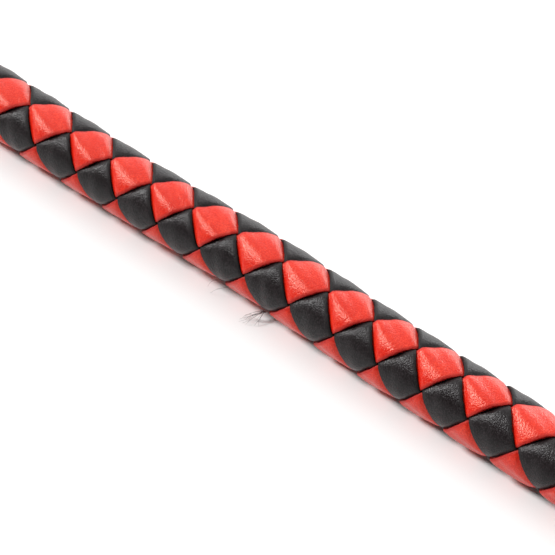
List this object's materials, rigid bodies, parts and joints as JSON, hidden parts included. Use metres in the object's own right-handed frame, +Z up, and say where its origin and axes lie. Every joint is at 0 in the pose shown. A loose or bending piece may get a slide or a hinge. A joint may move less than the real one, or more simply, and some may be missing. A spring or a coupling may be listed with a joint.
{
  "type": "riding crop",
  "caption": "Riding crop: rod plaited over with red and black leather laces, leather-wrapped handle with a wrist loop, folded leather tongue.",
  "frame": {"origin": "middle of the crop's box on the surface that it lies on", "axes": "+X along the crop from the wrist loop to the tongue, +Z up from the surface that it lies on"},
  "size_m": [0.8294, 0.0618, 0.0212],
  "materials": {
    "red_leather": "glossy pebble-grain lacing leather, orange-red",
    "black_leather": "satin pebble-grain leather, charcoal black",
    "thread": "waxed thread, black",
    "stitching": "waxed thread, red",
    "fibreglass": "pulled fibreglass rod",
    "bolster_leather": "plain tan leather, rough",
    "wood": "turned beech, unvarnished",
    "pin_steel": "plain steel pin"
  },
  "bodies": {
    "crop": {"core_rod": "fibreglass", "bolster": "bolster_leather", "red_lace_1": "red_leather", "red_lace_2": "red_leather", "red_lace_3": "red_leather", "black_lace_1": "black_leather", "black_lace_2": "black_leather", "black_lace_3": "black_leather", "start_whipping": "thread", "tip_whipping": "thread", "handle_core": "wood", "handle_wrap": "black_leather", "butt_disc": "black_leather", "butt_knot": "red_leather", "handle_knot": "red_leather", "tip_knot": "red_leather", "loop_tabs": "black_leather", "loop_pin": "pin_steel", "tongue_neck": "black_leather", "tongue_binding": "thread"},
    "loop": {"wrist_loop": "black_leather"},
    "slider": {"loop_slider": "black_leather"},
    "tongue": {"tongue_flap": "black_leather", "tongue_stitches": "stitching"}
  },
  "joints": [
    {"name": "loop_swing", "type": "hinge", "parent": "crop", "child": "loop", "pos_m": [-0.27858, 0, 0.0106], "axis": [-0.0412, 0, 0.9992], "range_deg": [-85, 85], "stiffness_Nm_per_rad": 0.004},
    {"name": "slider_slide", "type": "slide", "parent": "loop", "child": "slider", "axis": [-0.9992, 0, -0.0412], "range_m": [-0.006, 0.014]},
    {"name": "tongue_flex", "type": "hinge", "parent": "crop", "child": "tongue", "pos_m": [0.34267, 0, 0.0106], "axis": [0, 1, 0], "range_deg": [-60, 50], "stiffness_Nm_per_rad": 0.04}
  ]
}
